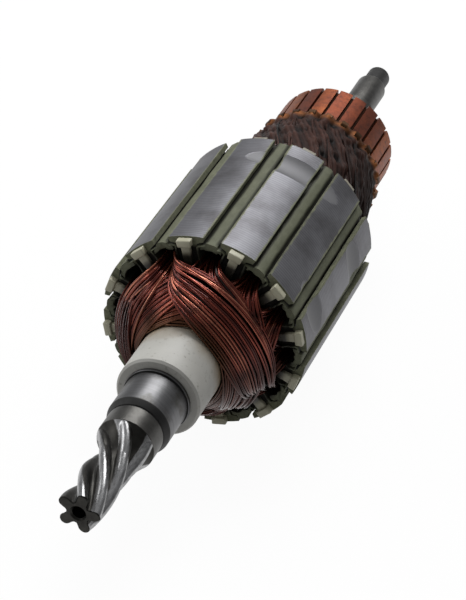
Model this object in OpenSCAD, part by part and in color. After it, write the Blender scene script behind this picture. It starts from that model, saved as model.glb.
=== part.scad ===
// Wound armature of a power-tool motor, lying along X.
// The helical pinion points towards -X and the commutator towards +X.
// The origin is on the axis, in the middle of the drive-end bearing seat. Millimetres.

/* [Drive-end shaft] */
// Radius of the drive-end bearing seat
drive_seat_r = 7.5; // [7.2:0.1:8]
// Length of the drive-end bearing seat
drive_seat_len = 10.2; // [9:0.2:12]
// Length of the black shoulder between the seat and the neck
shoulder_len = 1.6; // [1:0.2:3]
// Radius of the ground neck behind the pinion
neck_r = 6.7; // [6.2:0.1:7.1]
// Length of the ground neck
neck_len = 5.8; // [4:0.2:8]
// Radius of the stop ring behind the bearing seat
stop_ring_r = 7.9; // [7.8:0.1:8.6]
// Width of the stop ring
stop_ring_w = 0.9; // [0.6:0.1:1.5]
// Width of the relief groove at each end of a ground stretch
relief_w = 0.4; // [0.2:0.1:0.8]
// Depth of the relief groove
relief_depth = 0.2; // [0.1:0.05:0.3]

/* [Pinion] */
// Number of pinion teeth
pinion_teeth = 5; // [4:1:6]
// Tip radius of the pinion
pinion_r = 5; // [4.6:0.1:5.6]
// Root radius of the pinion
pinion_root_r = 2.7; // [2.4:0.1:3]
// Length of the pinion from its tip to the neck
pinion_len = 25.3; // [22:0.5:30]
// Length over which the cutter runs out of the blank
run_out_len = 9.8; // [8:0.2:12]
// Length over which the blank widens to the neck
blank_cone_len = 7; // [5:0.5:9]
// Width of a tooth near its tip
tooth_w = 2.5; // [2:0.1:2.8]
// Length of one whole turn of the left-hand helix
pinion_lead = 56.7; // [50:0.5:70]
// Radius of the centre hole in the pinion's face
centre_hole_r = 1.5; // [1.2:0.05:1.7]
// Depth of the centre hole
centre_hole_depth = 4; // [3:0.5:6]
// Radius at the mouth of the centre hole's countersink
centre_mouth_r = 1.95; // [1.8:0.05:2.2]

/* [Rear shaft] */
// Radius of the shaft under the insulating sleeve
shaft_r = 6.6; // [6.2:0.1:7]
// Radius of the shaft in the commutator
commutator_seat_r = 6; // [5.6:0.1:6.1]
// Length of the shaft from the commutator's face to the rear bearing seat
rear_neck_len = 17.9; // [14:0.5:24]
// Radius of the shaft between the commutator and the rear bearing seat
rear_neck_r = 5; // [4.6:0.1:5.5]
// Radius of the commutator-end bearing seat
rear_seat_r = 4; // [3.8:0.1:4.2]
// Length of the commutator-end bearing seat
rear_seat_len = 13; // [9:0.5:16]
// Radius of the black end behind the rear seat
rear_tip_r = 3.05; // [2.6:0.05:3.4]
// Length of the black end
rear_tip_len = 6; // [4:0.5:9]
// Length of the chamfer from the rear seat down to the black end
rear_chamfer_len = 1.6; // [1:0.1:2.4]

/* [Insulating sleeve] */
// Outer radius of the collar in front of the core
collar_r = 10; // [9.4:0.1:10.4]
// Length of the collar from the stop ring to the core
collar_len = 28.5; // [26:0.5:32]
// Wall of the sleeve inside the core
sleeve_wall = 1.6; // [1.2:0.1:2]
// Round on the collar's front edge
collar_round = 0.5; // [0.2:0.1:0.8]

/* [Laminated core] */
// Outer radius of the core
core_r = 25; // [24.6:0.1:26]
// Length of the core
core_len = 47.5; // [40:0.5:60]
// Width of a tooth's body
core_tooth_w = 5; // [4.6:0.1:5.4]
// Radius at the bottom of the slots
slot_bottom_r = 14.5; // [14:0.1:15]
// Width of the slot's mouth
slot_mouth_w = 4.2; // [3.8:0.1:4.6]
// Thickness of the tooth's lip at the slot's mouth
lip_t = 1.3; // [1.1:0.05:1.6]
// Rise of the slot's roof from the wall to the mouth
lip_rise = 0.5; // [0.3:0.05:0.7]

/* [Balance cuts] */
// Axial width of each balance cut
balance_w = 8.4; // [7:0.1:9]
// Depth of the wide cut
wide_cut_depth = 1.2; // [0.8:0.05:1.5]
// Half angle that the wide cut spans
wide_cut_half = 29.7; // [26:0.5:32]
// Distance of the wide cut's middle from the core's rear face
wide_cut_back = 8.9; // [7:0.1:12]
// Depth of the two narrow cuts
narrow_cut_depth = 0.7; // [0.4:0.05:0.8]
// Half angle that each narrow cut spans
narrow_cut_half = 15.5; // [15:0.5:18]
// Distance of the rear narrow cut's middle from the core's rear face
narrow_cut_back = 13.2; // [10:0.1:16]
// Distance of the front narrow cut's middle from the core's front face
narrow_cut_front = 7.6; // [6:0.1:10]

/* [Slot insulation] */
// Thickness of the slot liner
liner_t = 0.35; // [0.25:0.05:0.4]
// Length by which liners and wedges stand out of the core
liner_out = 1; // [0.6:0.1:1.15]
// Thickness of the wedge's base under the lips
wedge_t = 0.7; // [0.5:0.05:0.9]
// Width of the wedge's rib in the slot's mouth
wedge_rib_w = 3.2; // [2.6:0.1:3.4]
// Depth of the rib's top below the core's surface
wedge_recess = 1.1; // [0.9:0.05:1.25]

/* [End insulators] */
// Thickness of the end insulators
insulator_t = 1.2; // [1.2:0.05:1.4]
// Width of each arm on a tooth
arm_w = 2.4; // [2:0.1:2.8]
// Width of the head at the end of each arm
head_w = 4.2; // [3.6:0.1:4.6]
// Radial height of the head
head_h = 1.7; // [1.2:0.1:2.2]
// Axial length of the head
head_len = 2.5; // [2:0.1:3.2]
// Depth of the head's outer face below the core's surface
head_inset = 0.15; // [0.1:0.05:0.4]

/* [Coils] */
// Empty depth between the wedges and the copper in the slots
slot_headroom = 1.55; // [1.35:0.05:1.85]
// Radial depth of the copper that rises straight out of each slot
riser_depth = 2.9; // [2.6:0.1:3.2]
// Height of the front end turns at the collar
front_turns_height = 16.4; // [14:0.2:18]
// Height of the front end turns where they leave the slots
front_turns_edge_height = 4.6; // [4:0.2:6]
// Height of the rear end turns at the sleeve
rear_turns_height = 23; // [19:0.5:24]
// Height of the rear end turns where they leave the slots
rear_turns_edge_height = 6.4; // [5:0.2:8]
// Gap between one layer of end turns and the next
layer_gap = 0.08; // [0.04:0.01:0.12]

/* [Commutator] */
// Radius of the brush track
track_r = 15.7; // [15.3:0.1:16.2]
// Distance from the core's rear face to the commutator's hooks
hook_distance = 29; // [28:0.5:34]
// Length of the bars from the hooks to the outer face
bar_len = 17; // [14:0.2:20]
// Radial depth of the bars
bar_depth = 3.8; // [3.4:0.1:4.2]
// Width of the undercut slots between the bars
bar_gap = 0.8; // [0.6:0.05:1]
// Depth of the undercut slots
undercut = 0.8; // [0.6:0.05:1.2]
// Length of the hub in front of the bars
hub_skirt = 3; // [2:0.1:3.6]
// Recess of the hub's outer face inside the bars
hub_recess = 0.8; // [0.4:0.1:1.2]
// Wall of the steel bush in the hub
bush_wall = 1.2; // [0.9:0.1:1.5]
// Width of a hook
hook_w = 1.7; // [1.4:0.1:2]
// Thickness of a hook's strip
hook_t = 0.65; // [0.5:0.05:0.75]
// Length of the chamfer on the bars' outer edge
bar_chamfer = 0.5; // [0.3:0.05:0.8]

/* [Coil leads] */
// Radius of a pair of lead wires laid together
lead_r = 0.55; // [0.45:0.05:0.6]
// Bars by which each lead is shifted round from its slot
lead_shift = 2; // [0:1:3]

/* [Hidden] */
$fn = 96;
fit = 0.05;

slots = 12;
bars = 2 * slots;
slot_pitch = 360 / slots;
bar_pitch = 360 / bars;
coil_span = 5;
layers = slots / 2;

// Stations along the axis
seat_x0 = -drive_seat_len / 2;
seat_x1 = drive_seat_len / 2;
collar_x = seat_x1 + stop_ring_w;
core_x0 = collar_x + collar_len;
core_x1 = core_x0 + core_len;
hook_x = core_x1 + hook_distance;
bar_x1 = hook_x + bar_len;
hub_x0 = hook_x - hub_skirt;
hub_x1 = bar_x1 - hub_recess;
sleeve_x1 = hub_x0 - fit;
rear_seat_x0 = bar_x1 + rear_neck_len;
rear_seat_x1 = rear_seat_x0 + rear_seat_len;
rear_tip_x0 = rear_seat_x1 + rear_chamfer_len;
rear_tip_x1 = rear_tip_x0 + rear_tip_len;
neck_x1 = seat_x0 - shoulder_len;
neck_x0 = neck_x1 - neck_len;
pinion_x0 = neck_x0 - pinion_len;

// Radii that follow from the sizes above
sleeve_r = shaft_r + sleeve_wall;
core_bore_r = sleeve_r + fit;
lip_r = core_r - lip_t;
wall_top_r = lip_r - lip_rise;
wedge_top_r = core_r - wedge_recess;
head_r = core_r - head_inset;
liner_in = fit + liner_t;
leg_inset = liner_in + fit;
wedge_base_r1 = wall_top_r - leg_inset;
wedge_base_r0 = wedge_base_r1 - wedge_t;
copper_r = wedge_base_r0 - slot_headroom;
crossing_r = copper_r - riser_depth;
crossing_gap = 0.15;
riser_r = crossing_r + crossing_gap;
turns_r = collar_r + fit;
bar_r0 = track_r - bar_depth;
bush_r = commutator_seat_r + bush_wall;
hook_eye_r = lead_r + fit;
hook_r = hook_eye_r + hook_t;
hook_sink = 0.35;
hub_bevel = 0.6;
hook_centre_r = track_r + hook_eye_r - hook_sink;
hook_centre_x = hook_x + hook_r;
lead_clearance = 0.2;
lead_slot_r = copper_r + lead_clearance + lead_r;
lead_rise_x = core_x1 + rear_turns_edge_height;

// Turns a solid drawn along Z to lie along X. Angles run from +Z towards +Y.
module along_x(x = 0) {
    translate([x, 0, 0]) rotate([90, 0, 90]) children();
}

// Revolves a profile of [radius, x] points about the shaft's axis
module lathe(points) {
    along_x() rotate_extrude() polygon(points);
}

// Repeats a shape round the axis
module around(count, first = 0) {
    for (i = [0 : count - 1]) rotate(-(first + i * 360 / count)) children();
}

function polar(r, a) = [r * sin(a), r * cos(a)];

// Half the angle between a slot's walls at radius r, with the walls moved in by inset
function wall_angle(r, inset) = slot_pitch / 2 - asin((core_tooth_w / 2 + inset) / r);

// ---- Shaft ----

function relief(x, r) = [[r, x], [r - relief_depth, x], [r - relief_depth, x + relief_w], [r, x + relief_w]];

module shaft_body() {
    lathe(concat(
        [[0, neck_x0], [neck_r, neck_x0]],
        relief(neck_x1 - relief_w, neck_r),
        [[neck_r, neck_x1], [drive_seat_r, seat_x0]],
        relief(seat_x1 - relief_w, drive_seat_r),
        [[drive_seat_r, seat_x1], [stop_ring_r, seat_x1], [stop_ring_r, collar_x]],
        [[shaft_r, collar_x], [shaft_r, sleeve_x1], [commutator_seat_r, sleeve_x1]],
        [[commutator_seat_r, bar_x1], [rear_neck_r, bar_x1]],
        [[rear_neck_r, rear_seat_x0 - relief_w], [rear_seat_r - relief_depth, rear_seat_x0 - relief_w]],
        [[rear_seat_r - relief_depth, rear_seat_x0], [rear_seat_r, rear_seat_x0]],
        [[rear_seat_r, rear_seat_x1], [rear_tip_r, rear_tip_x0]],
        [[rear_tip_r, rear_tip_x1 - 0.6], [rear_tip_r - 0.6, rear_tip_x1], [0, rear_tip_x1]]
    ));
}

// Radius of the blank that the teeth are cut in. It ends just inside the neck.
blank_end_r = neck_r - fit;
function blank_r(x) = x < neck_x0 - blank_cone_len ? pinion_r
    : pinion_r + (blank_end_r - pinion_r) * (x - neck_x0 + blank_cone_len) / blank_cone_len;

// The floor that the cutter leaves: root radius, then an arc that climbs out of the blank
run_out_rise = blank_end_r - pinion_root_r;
run_out_arc_r = (run_out_len * run_out_len + run_out_rise * run_out_rise) / (2 * run_out_rise);
function floor_r(x) = x < neck_x0 - run_out_len ? pinion_root_r
    : pinion_root_r + run_out_arc_r - sqrt(pow(run_out_arc_r, 2) - pow(x - neck_x0 + run_out_len, 2));

// One side of a tooth from its tip to the middle of the gap, as [radius, angle] points:
// a round tip, a flank and a fillet into the root
tooth_tip = [for (a = [0 : 30 : 90])
    let (u = tooth_w / 2 * sin(a), v = pinion_r - tooth_w / 2 + tooth_w / 2 * cos(a)) [norm([u, v]), atan(u / v)]];
tooth_side_a = tooth_tip[3][1];
gap_a = 180 / pinion_teeth - tooth_side_a;
tooth_foot = [
    [pinion_root_r + 0.4, tooth_side_a + 0.32 * gap_a],
    [pinion_root_r + 0.03, tooth_side_a + 0.66 * gap_a],
    [pinion_root_r, tooth_side_a + gap_a]
];
tooth_side = concat(tooth_tip, tooth_foot);
tooth_outline = concat(
    [for (i = [5 : -1 : 1]) [tooth_side[i][0], -tooth_side[i][1]]],
    tooth_side
);
tooth_phase = 59;

// The toothed section at station x, turned along the left-hand helix
function pinion_ring(x) =
    let (grow = blank_r(x) / pinion_r, turn = tooth_phase + 360 / pinion_lead * (x - pinion_x0))
    [for (i = [0 : pinion_teeth - 1]) for (p = tooth_outline)
        let (r = max(floor_r(x), p[0] * grow)) concat(polar(r, p[1] + turn + i * 360 / pinion_teeth), [x])];

// A plain ring with as many points, at the angles of the section at station x
function plain_ring(x, r) =
    [for (p = pinion_ring(pinion_x0)) concat(r * [p[0], p[1]] / norm([p[0], p[1]]), [x])];

module pinion() {
    steps = 29;
    seated = 0.5;
    hole = [
        plain_ring(pinion_x0 + centre_hole_depth, centre_hole_r),
        plain_ring(pinion_x0 + centre_mouth_r - centre_hole_r, centre_hole_r),
        plain_ring(pinion_x0, centre_mouth_r)
    ];
    last = pinion_ring(neck_x0);
    outside = [for (i = [0 : steps]) pinion_ring(pinion_x0 + pinion_len * i / steps)];
    inner = [for (p = last) [p[0] * 0.9, p[1] * 0.9, neck_x0 + seated]];
    rings = concat(hole, outside, [inner]);
    n = len(last);
    points = concat([for (ring = rings) each ring],
        [[0, 0, pinion_x0 + centre_hole_depth + centre_hole_r], [0, 0, neck_x0 + seated]]);
    hole_tip = len(points) - 2;
    seat_middle = len(points) - 1;
    last_ring = (len(rings) - 1) * n;
    faces = concat(
        [for (j = [0 : len(rings) - 2]) for (i = [0 : n - 1])
            let (a = j * n + i, b = j * n + (i + 1) % n) each [[a, b, b + n], [a, b + n, a + n]]],
        [for (i = [0 : n - 1]) [hole_tip, (i + 1) % n, i]],
        [for (i = [0 : n - 1]) [seat_middle, last_ring + i, last_ring + (i + 1) % n]]
    );
    along_x() polyhedron(points, faces);
}

module shaft() {
    color("silver") {
        shaft_body();
        pinion();
    }
}

// ---- Insulating sleeve ----

module shaft_sleeve() {
    bore = shaft_r + fit;
    color("ivory") lathe([
        [bore, collar_x + fit], [collar_r - collar_round, collar_x + fit],
        [collar_r, collar_x + fit + collar_round], [collar_r, core_x0 - fit],
        [sleeve_r, core_x0 - fit], [sleeve_r, core_x1 + fit],
        [collar_r, core_x1 + fit], [collar_r, sleeve_x1], [bore, sleeve_x1]
    ]);
}

// ---- Laminated core ----

// A slot's closed part below the lips, pointing along +Y, with its walls moved in by inset
module slot_section(inset = 0) {
    r0 = slot_bottom_r + inset;
    r1 = wall_top_r - inset;
    a0 = wall_angle(r0, inset);
    a1 = wall_angle(r1, inset);
    roof_w = slot_mouth_w / 2;
    polygon([polar(r0, -a0), polar(r1, -a1), [-roof_w, lip_r - inset], [roof_w, lip_r - inset],
        polar(r1, a1), polar(r0, a0)]);
}

module slot_mouth() {
    translate([-slot_mouth_w / 2, lip_r - 0.5]) square([slot_mouth_w, core_r - lip_r + 2]);
}

// A shallow cut round the core whose floor meets the surface at half_angle on each side
module balance_cut(x, angle, half_angle, depth) {
    floor_at = core_r - depth;
    back = (core_r * core_r - floor_at * floor_at) / (2 * floor_at - 2 * core_r * cos(half_angle));
    profile_r = (balance_w * balance_w / 4 + depth * depth) / (2 * depth);
    overrun_a = 4;
    sweep = 2 * (asin(core_r * sin(half_angle) / (floor_at + back)) + overrun_a);
    along_x(x)
        rotate(90 - angle)
            translate([-back, 0, 0])
                rotate(-sweep / 2)
                    rotate_extrude(angle = sweep, $fn = 720)
                        translate([floor_at + back + profile_r, 0])
                            circle(profile_r, $fn = 180);
}

module lamination_stack() {
    color("slategray") difference() {
        along_x(core_x0) linear_extrude(core_len) difference() {
            circle(core_r);
            circle(core_bore_r);
            around(slots) {
                slot_section();
                slot_mouth();
            }
        }
        balance_cut(core_x1 - wide_cut_back, 345, wide_cut_half, wide_cut_depth);
        balance_cut(core_x1 - narrow_cut_back, 282, narrow_cut_half, narrow_cut_depth);
        balance_cut(core_x0 + narrow_cut_front, 292, narrow_cut_half, narrow_cut_depth);
    }
}

module slot_liners() {
    color("darkkhaki")
        along_x(core_x0 - liner_out) linear_extrude(core_len + 2 * liner_out)
            around(slots) difference() {
                slot_section(fit);
                slot_section(liner_in);
                translate([-wedge_rib_w / 2 - fit, wedge_base_r0])
                    square([wedge_rib_w + 2 * fit, core_r - wedge_base_r0]);
            }
}

module slot_wedges() {
    a0 = wall_angle(wedge_base_r0, leg_inset);
    a1 = wall_angle(wedge_base_r1, leg_inset);
    half_rib = wedge_rib_w / 2;
    shoulder_y = wedge_base_r1 * cos(a1);
    color("olive")
        along_x(core_x0 - liner_out) linear_extrude(core_len + 2 * liner_out)
            around(slots)
                polygon([
                    polar(wedge_base_r0, -a0), polar(wedge_base_r1, -a1),
                    [-half_rib, shoulder_y], [-half_rib, wedge_top_r],
                    [half_rib, wedge_top_r], [half_rib, shoulder_y],
                    polar(wedge_base_r1, a1), polar(wedge_base_r0, a0)
                ]);
}

// ---- End insulators ----

module end_insulator_section(r1) {
    difference() {
        circle(slot_bottom_r - fit);
        circle(collar_r + fit);
    }
    around(slots, slot_pitch / 2)
        translate([-arm_w / 2, slot_bottom_r - 1]) square([arm_w, r1 - slot_bottom_r + 1]);
}

module end_insulator() {
    linear_extrude(insulator_t) end_insulator_section(head_r - head_h / 2);
    linear_extrude(head_len) intersection() {
        circle(head_r);
        around(slots, slot_pitch / 2) translate([-head_w / 2, head_r - head_h]) square([head_w, head_h]);
    }
}

module pinion_end_insulator() {
    color("wheat") along_x(core_x0 - fit) mirror([0, 0, 1]) end_insulator();
}

module commutator_end_insulator() {
    color("wheat") along_x(core_x1 + fit) end_insulator();
}

// ---- Coils ----

// Height of the end turns above the core's face at radius r
function turns_h(r, edge_h, in_h) =
    edge_h + (in_h - edge_h) * (1 - pow(max(0, r - turns_r) / (copper_r - turns_r), 1.4));
function layer_h(r, edge_h, in_h, layer) =
    let (base = insulator_t + 2 * fit)
    base + (turns_h(r, edge_h, in_h) - base) * (layers - layer) / layers;

turn_radii = [for (i = [0 : 6]) turns_r + (copper_r - turns_r) * i / 6];

// Solid of revolution between two layers of the end turns, standing on the core's face
module turns_shell(edge_h, in_h, layer, solid = false) {
    top = [for (r = turn_radii) [r, layer_h(r, edge_h, in_h, layer) - layer_gap]];
    floor_line = solid ? [[copper_r, -1], [turns_r, -1]]
        : [for (i = [6 : -1 : 0]) [turn_radii[i], layer_h(turn_radii[i], edge_h, in_h, layer + 1)]];
    rotate_extrude() polygon(concat(top, floor_line));
}

// Plan of one coil's end turns, centred on +Y: they run from one slot past the collar to the other
module turns_plan() {
    half = coil_span * slot_pitch / 2 - 0.5;
    outer_r = crossing_r - 0.3;
    outer_a = half - acos(outer_r / copper_r);
    inner_a = half - acos(turns_r / riser_r);
    steps = 8;
    polygon(concat(
        [polar(riser_r, -half), polar(copper_r + 0.5, -half)],
        [for (i = [0 : steps]) polar(outer_r, -outer_a + 2 * outer_a * i / steps)],
        [polar(copper_r + 0.5, half), polar(riser_r, half), polar(turns_r, inner_a)],
        [polar(turns_r - 1, 0), polar(turns_r, -inner_a)]
    ));
}

// The half of a slot that one coil side fills, on the side towards +X
module half_slot(r0, r1) {
    intersection() {
        slot_section(leg_inset);
        translate([fit, 0]) square([core_r, core_r]);
        difference() {
            circle(r1);
            circle(r0);
        }
    }
}

module coil_side_plan(r0, r1) {
    half = coil_span * slot_pitch / 2;
    rotate(half) half_slot(r0, r1);
    mirror([1, 0]) rotate(half) half_slot(r0, r1);
}

module end_turns(edge_h, in_h, layer) {
    intersection() {
        turns_shell(edge_h, in_h, layer);
        linear_extrude(in_h + 1) turns_plan();
    }
    intersection() {
        turns_shell(edge_h, in_h, layer, solid = true);
        translate([0, 0, -0.5]) linear_extrude(in_h + 1) coil_side_plan(riser_r, copper_r);
    }
}

module coil(k) {
    layer = k % layers;
    middle = slot_pitch - k * slot_pitch - coil_span * slot_pitch / 2;
    color("sienna") {
        along_x(core_x0) rotate(-middle) linear_extrude(core_len) coil_side_plan(slot_bottom_r, copper_r);
        along_x(core_x0) rotate(-middle) mirror([0, 0, 1])
            end_turns(front_turns_edge_height, front_turns_height, layer);
        along_x(core_x1) rotate(-middle) end_turns(rear_turns_edge_height, rear_turns_height, layer);
    }
}

// ---- Commutator ----

module commutator_bush() {
    color("gray") lathe([
        [commutator_seat_r + fit, hub_x0], [bush_r, hub_x0],
        [bush_r, hub_x1], [commutator_seat_r + fit, hub_x1]
    ]);
}

module bar_section(r0, r1, gap) {
    intersection() {
        difference() {
            circle(r1);
            circle(r0);
        }
        around(bars, bar_pitch / 2)
            polygon([[0, gap / 2 / sin(bar_pitch / 2)], polar(2 * r1, -bar_pitch / 2) + [gap / 2, 0],
                polar(2 * r1, bar_pitch / 2) - [gap / 2, 0]]);
    }
}

module commutator_hub() {
    color("#3a2a20") {
        lathe([
            [bush_r + fit, hub_x0], [bar_r0 - hub_bevel, hub_x0], [bar_r0 - fit, hub_x0 + hub_bevel],
            [bar_r0 - fit, hub_x1], [bush_r + fit, hub_x1]
        ]);
        along_x(hook_x) linear_extrude(bar_len - hub_recess) intersection() {
            difference() {
                circle(track_r - undercut);
                circle((bush_r + bar_r0) / 2);
            }
            around(bars) translate([-bar_gap / 2 + fit, 0]) square([bar_gap - 2 * fit, track_r]);
        }
    }
}

module hook_profile() {
    difference() {
        circle(hook_r, $fn = 48);
        circle(hook_eye_r, $fn = 48);
        translate([0, -2 * hook_r]) square([2 * hook_r, 2 * hook_r]);
    }
    translate([0, hook_eye_r]) square([hook_r * 0.6, hook_t]);
}

module commutator_bars() {
    color("peru") {
        intersection() {
            along_x(hook_x) linear_extrude(bar_len) bar_section(bar_r0, track_r, bar_gap);
            lathe([
                [bar_r0 - 1, hook_x - 1], [track_r - 0.9, hook_x - 1], [track_r - 0.9, hook_centre_x],
                [track_r + 1, hook_centre_x], [track_r + 1, bar_x1 - bar_chamfer - 1],
                [track_r - bar_chamfer, bar_x1], [bar_r0 - 1, bar_x1]
            ]);
        }
        for (i = [0 : bars - 1])
            along_x() rotate(-(i + 0.5) * bar_pitch)
                translate([hook_w / 2, hook_centre_r, hook_centre_x]) rotate([0, -90, 0])
                    linear_extrude(hook_w) hook_profile();
    }
}

// ---- Leads ----

module rod(a, b, r) {
    d = b - a;
    length = norm(d);
    translate(a) rotate([0, acos(d[2] / length), atan2(d[1], d[0])]) cylinder(r = r, h = length, $fn = 48);
}

// One lead leaves its slot straight, then bends in to the back of its hook
module lead(side) {
    bend_a = 2.6 * side;
    hook_a = side * bar_pitch / 2 + lead_shift * bar_pitch;
    slot_end = concat(polar(lead_slot_r, bend_a), [core_x1 - 2]);
    bend = concat(polar(lead_slot_r, bend_a), [lead_rise_x]);
    hook_end = concat(polar(hook_centre_r, hook_a), [hook_x - lead_r / 2]);
    rod(slot_end, bend + [0, 0, lead_r / 4], lead_r);
    rod(bend, hook_end, lead_r);
}

module coil_leads() {
    color("#4a2a22") along_x() around(slots) {
        lead(-1);
        lead(1);
    }
}

shaft();
shaft_sleeve();
lamination_stack();
pinion_end_insulator();
commutator_end_insulator();
slot_liners();
slot_wedges();
coil(0);  // coil_01
coil(1);  // coil_02
coil(2);  // coil_03
coil(3);  // coil_04
coil(4);  // coil_05
coil(5);  // coil_06
coil(6);  // coil_07
coil(7);  // coil_08
coil(8);  // coil_09
coil(9);  // coil_10
coil(10);  // coil_11
coil(11);  // coil_12
coil_leads();
commutator_bush();
commutator_hub();
commutator_bars();
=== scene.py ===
# %% [markdown]
# # A wound motor armature
# The real object is a steel shaft that carries a slotted core of pressed steel sheets, twelve coils
# of enamelled copper wire and a copper commutator. The CAD part fixes every size and place. This
# lesson gives it its looks: wound wire, ground and hobbed steel, fibre, plastic and copper.

# %% Load the CAD part and keep its size
import functools
import math

import bpy
import numpy as np
from mathutils import Matrix, Vector


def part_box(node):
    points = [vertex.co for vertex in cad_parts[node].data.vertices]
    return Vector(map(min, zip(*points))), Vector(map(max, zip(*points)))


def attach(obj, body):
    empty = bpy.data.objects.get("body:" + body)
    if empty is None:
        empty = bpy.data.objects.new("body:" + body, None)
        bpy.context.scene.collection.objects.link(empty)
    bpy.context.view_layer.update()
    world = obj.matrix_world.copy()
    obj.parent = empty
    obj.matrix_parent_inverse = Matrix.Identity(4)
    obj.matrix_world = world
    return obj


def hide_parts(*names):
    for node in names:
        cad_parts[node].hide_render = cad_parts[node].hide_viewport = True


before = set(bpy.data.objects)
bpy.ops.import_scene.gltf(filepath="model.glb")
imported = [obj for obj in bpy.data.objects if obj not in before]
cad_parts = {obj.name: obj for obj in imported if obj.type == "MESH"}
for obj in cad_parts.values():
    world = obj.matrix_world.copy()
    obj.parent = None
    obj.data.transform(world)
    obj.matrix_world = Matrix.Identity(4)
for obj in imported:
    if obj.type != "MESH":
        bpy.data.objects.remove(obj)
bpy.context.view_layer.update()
MM = 0.001
rng = np.random.default_rng(12)


def x_span(name):
    """Lowest and highest station of a CAD node, in millimetres along the shaft."""
    low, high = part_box(name)
    return low[0] / MM, high[0] / MM


core_x0, core_x1 = x_span("lamination_stack")
bars_x0, bars_x1 = x_span("commutator_bars")
shaft_x0, shaft_x1 = x_span("shaft")
sleeve_x1 = x_span("shaft_sleeve")[1]
core_length = core_x1 - core_x0
# Twelve slots, 30 degrees apart, and twice as many commutator bars
slots, slot_step, bars = 12, 30, 24
half_step = math.radians(slot_step / 2)
print("core from", round(core_x0, 2), "to", round(core_x1, 2), "mm")

# %% [markdown]
# ## The camera
# The armature is seen from above its pinion end, nearly end on, through a long lens. The camera's
# place and axes were worked out once from the core's two rims and the steps of the shaft, and they
# are written here in millimetres in the part's own frame.

# %% Camera
camera_place = np.array([-404.5, -143.6, 331.7])
camera_right = np.array([0.3515, -0.9326, 0.0816])
camera_down = np.array([-0.5138, -0.2650, -0.8159])
camera_right /= np.linalg.norm(camera_right)
camera_up = -(camera_down - camera_down @ camera_right * camera_right)
camera_up /= np.linalg.norm(camera_up)
camera_back = np.cross(camera_right, camera_up)

lens = bpy.data.cameras.new("camera")
lens.lens = 148.5
lens.sensor_width = 36
lens.clip_start = 0.02
lens.clip_end = 20
camera = bpy.data.objects.new("camera", lens)
bpy.context.scene.collection.objects.link(camera)
turn = np.column_stack([camera_right, camera_up, camera_back])
camera.matrix_world = Matrix.Translation(Vector(camera_place * MM)) @ Matrix(turn.tolist()).to_4x4()
bpy.context.scene.camera = camera
bpy.context.scene.view_settings.view_transform = "Standard"
print("camera at", camera_place, "mm")

# %% [markdown]
# ## Node and mesh helpers
# Every finish below is a small tree of shader nodes, so one function adds a node, sets it and links
# it. Every new piece is a sheet or a bundle of tubes worked out with numpy, so one function turns a
# grid of points into a mesh and another puts a mesh in the scene.

# %% Helpers for finishes


def shade(code):
    """sRGB hex to linear RGBA: a channel c becomes ((c + 0.055) / 1.055) ** 2.4, or c / 12.92 when
    dark."""
    c = np.array([int(code[i:i + 2], 16) for i in (1, 3, 5)]) / 255
    c = np.where(c <= 0.04045, c / 12.92, ((c + 0.055) / 1.055) ** 2.4)
    return (*c.tolist(), 1.0)


def fill(tree, sockets, values):
    """Links every value that is a socket and sets the others. A text such as #aabbcc is a colour."""
    for socket, value in zip(sockets, values):
        if isinstance(value, bpy.types.NodeSocket):
            tree.links.new(value, socket)
        else:
            socket.default_value = shade(value) if isinstance(value, str) else value


def add(tree, kind, *values, stops=None, out=None, **named):
    """Adds one shader node and returns its output called out, or else its first output that is in use. The
    values go to its inputs that are in use, in their order: a MapRange takes the value, the range it comes
    from and the range it goes to, and a Mix takes the share and two colours. Named values with a capital
    are inputs, and the others are settings."""
    node = tree.nodes.new("ShaderNode" + kind)
    if kind == "Mix":
        node.data_type = "RGBA"
    for key in [key for key in named if key.islower()]:
        setattr(node, key, named.pop(key))
    fill(tree, [socket for socket in node.inputs if socket.enabled], values)
    fill(tree, [node.inputs[key] for key in named], named.values())
    if stops:
        ramp = node.color_ramp.elements
        ramp[0].position, ramp[1].position = stops[0][0], stops[-1][0]
        ramp[0].color, ramp[1].color = shade(stops[0][1]), shade(stops[-1][1])
        for place, colour in stops[1:-1]:
            ramp.new(place).color = shade(colour)
    return node.outputs[out] if out else next(socket for socket in node.outputs if socket.enabled)

# %% Start and end of a finish


def start_finish(name):
    """A new material, a function that adds nodes to its tree, and the Object coordinates they read."""
    material = bpy.data.materials.new(name)
    material.use_nodes = True
    node = functools.partial(add, material.node_tree)
    print("finish", name)
    return material, node, node("TexCoord", out="Object")


def set_shader(material, **values):
    """Sets or links the main shader's sockets, with underscores for the spaces in their names."""
    shader = material.node_tree.nodes["Principled BSDF"]
    fill(material.node_tree, [shader.inputs[key.replace("_", " ")] for key in values], values.values())


def coat(material, colour, pattern, strength, depth, **values):
    """Finishes a material with its colour and a bump that follows a pattern, depth being in millimetres."""
    bump = add(material.node_tree, "Bump", Height=pattern, Strength=strength, Distance=depth * MM)
    set_shader(material, Base_Color=colour, Normal=bump, **values)
    return material


def round_the_shaft(node, place):
    """Sockets for a point's station x, its radius r = |(0, y, z)| and its angle a = atan2(y, z)."""
    x, y, z = node("SeparateXYZ", place).node.outputs
    r = node("VectorMath", node("CombineXYZ", 0, y, z), operation="LENGTH")
    return x, r, node("Math", y, z, operation="ARCTAN2")

# %% Helpers for meshes


def lay_round(x, r, angle):
    """Points (x, r sin a, r cos a) at station x, radius r and angle a round the shaft, from +Z to +Y."""
    x, r, angle = np.broadcast_arrays(x, r, angle)
    return np.stack([x, r * np.sin(angle), r * np.cos(angle)], -1)


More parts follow.
